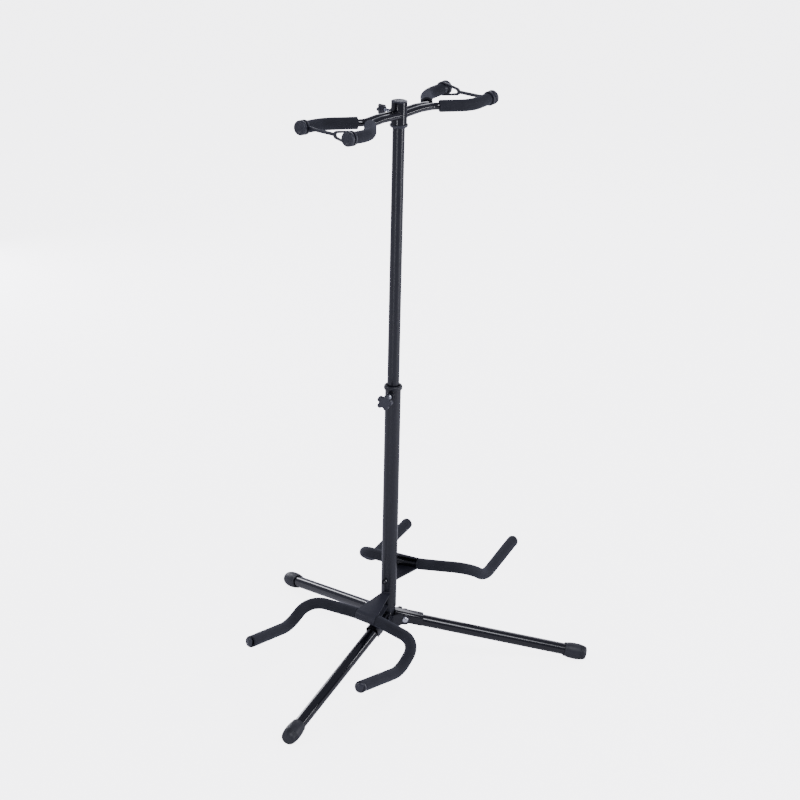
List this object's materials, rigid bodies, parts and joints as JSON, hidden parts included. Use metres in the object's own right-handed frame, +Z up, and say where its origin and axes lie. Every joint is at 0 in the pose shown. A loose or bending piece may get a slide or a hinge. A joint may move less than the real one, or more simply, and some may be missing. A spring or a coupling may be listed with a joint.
{
  "type": "double guitar stand",
  "caption": "Free-standing tubular floor stand that holds two guitars back to back: folding tripod, telescopic mast, padded body yokes and neck forks with closing straps.",
  "frame": {"origin": "on the pole's axis at floor level, between the three feet", "axes": "+Z up along the pole; -Y towards the front leg, the front body yoke and (nearly) the front neck fork; +X to the right seen from the front"},
  "size_m": [0.5752, 0.5863, 0.9368],
  "materials": {
    "satin_black_steel": "satin black powder coat",
    "gloss_black_steel": "glossy black powder coat",
    "bright_zinc": "bright zinc plate",
    "black_plastic": "moulded, lightly grained",
    "black_foam": "matt closed-cell foam",
    "black_rubber": "moulded matt rubber"
  },
  "bodies": {
    "base": {"base_post": "satin_black_steel", "base_post_plug": "black_plastic", "pole_tube": "gloss_black_steel", "cross_bolt": "satin_black_steel", "cross_nut": "satin_black_steel", "hub_plate_front": "satin_black_steel", "hub_plate_right": "satin_black_steel", "hub_plate_left": "satin_black_steel", "leg_rivets": "bright_zinc", "front_yoke_gusset": "satin_black_steel", "front_yoke_tube": "satin_black_steel", "front_yoke_foam_a": "black_foam", "front_yoke_foam_b": "black_foam", "front_yoke_plug_a": "black_plastic", "front_yoke_plug_b": "black_plastic", "rear_yoke_gusset": "satin_black_steel", "rear_yoke_tube": "satin_black_steel", "rear_yoke_foam_a": "black_foam", "rear_yoke_foam_b": "black_foam", "rear_yoke_plug_a": "black_plastic", "rear_yoke_plug_b": "black_plastic", "pole_collar": "black_plastic", "height_clamp_nut": "satin_black_steel"},
    "leg_front": {"leg_tube_front": "gloss_black_steel", "leg_channel_front": "gloss_black_steel", "leg_foot_front": "black_rubber"},
    "leg_right": {"leg_tube_right": "gloss_black_steel", "leg_channel_right": "gloss_black_steel", "leg_foot_right": "black_rubber"},
    "leg_left": {"leg_tube_left": "gloss_black_steel", "leg_channel_left": "gloss_black_steel", "leg_foot_left": "black_rubber"},
    "height_clamp_pad": {"height_clamp_pad": "black_plastic"},
    "height_clamp_knob": {"height_clamp_screw": "bright_zinc", "height_clamp_knob": "black_plastic"},
    "mast": {"mast_tube": "gloss_black_steel", "mast_glide_ring": "black_plastic"},
    "head": {"head_sleeve": "gloss_black_steel", "head_crown": "black_plastic", "head_bush": "black_plastic", "head_clamp_nut": "satin_black_steel", "front_fork_tube_a": "gloss_black_steel", "front_fork_tube_b": "gloss_black_steel", "front_fork_foam_a": "black_foam", "front_fork_foam_b": "black_foam", "front_fork_cap_a": "black_rubber", "front_fork_cap_b": "black_rubber", "rear_fork_tube_a": "gloss_black_steel", "rear_fork_tube_b": "gloss_black_steel", "rear_fork_foam_a": "black_foam", "rear_fork_foam_b": "black_foam", "rear_fork_cap_a": "black_rubber", "rear_fork_cap_b": "black_rubber"},
    "head_clamp_pad": {"head_clamp_pad": "black_plastic"},
    "head_clamp_knob": {"head_clamp_screw": "bright_zinc", "head_clamp_knob": "black_plastic"},
    "front_strap": {"front_strap": "black_rubber"},
    "rear_strap": {"rear_strap": "black_rubber"}
  },
  "joints": [
    {"name": "leg_front_fold", "type": "hinge", "parent": "base", "child": "leg_front", "pos_m": [0, -0.027, 0.07682], "axis": [1, 0, 0], "range_deg": [0, 77]},
    {"name": "leg_right_fold", "type": "hinge", "parent": "base", "child": "leg_right", "pos_m": [0.02338, 0.0135, 0.07682], "axis": [-0.5, 0.866, 0], "range_deg": [0, 77]},
    {"name": "leg_left_fold", "type": "hinge", "parent": "base", "child": "leg_left", "pos_m": [-0.02338, 0.0135, 0.07682], "axis": [-0.5, -0.866, 0], "range_deg": [0, 77]},
    {"name": "mast_height", "type": "slide", "parent": "base", "child": "mast", "axis": [0, 0, 1], "range_m": [-0.12, 0.12]},
    {"name": "height_clamp_screw_travel", "type": "slide", "parent": "base", "child": "height_clamp_pad", "axis": [0.1736, -0.9848, 0], "range_m": [0, 0.003]},
    {"name": "height_clamp_knob_turn", "type": "hinge", "parent": "height_clamp_pad", "child": "height_clamp_knob", "pos_m": [0, 0, 0.467], "axis": [0.1736, -0.9848, 0], "range_deg": [0, 1080]},
    {"name": "head_swivel", "type": "hinge", "parent": "mast", "child": "head", "pos_m": [0, 0, 0.9], "axis": [0, 0, 1], "continuous": true},
    {"name": "head_clamp_screw_travel", "type": "slide", "parent": "head", "child": "head_clamp_pad", "axis": [-0.9796, 0.2011, 0], "range_m": [0, 0.0024]},
    {"name": "head_clamp_knob_turn", "type": "hinge", "parent": "head_clamp_pad", "child": "head_clamp_knob", "pos_m": [0, 0, 0.9173], "axis": [-0.9796, 0.2011, 0], "range_deg": [0, 1080]},
    {"name": "front_strap_swing", "type": "hinge", "parent": "head", "child": "front_strap", "pos_m": [-0.07749, -0.15121, 0.91776], "axis": [-0.2006, -0.9772, 0.0699], "range_deg": [0, 170], "deforming": ["front_strap"]},
    {"name": "rear_strap_swing", "type": "hinge", "parent": "head", "child": "rear_strap", "pos_m": [0.07749, 0.15121, 0.91776], "axis": [0.2006, 0.9772, 0.0699], "range_deg": [0, 170], "deforming": ["rear_strap"]}
  ],
  "couplings": [
    {"joint": "height_clamp_screw_travel", "follows": "height_clamp_knob_turn", "m_per_rad": 0.00015915},
    {"joint": "head_clamp_screw_travel", "follows": "head_clamp_knob_turn", "m_per_rad": 0.00012732}
  ]
}
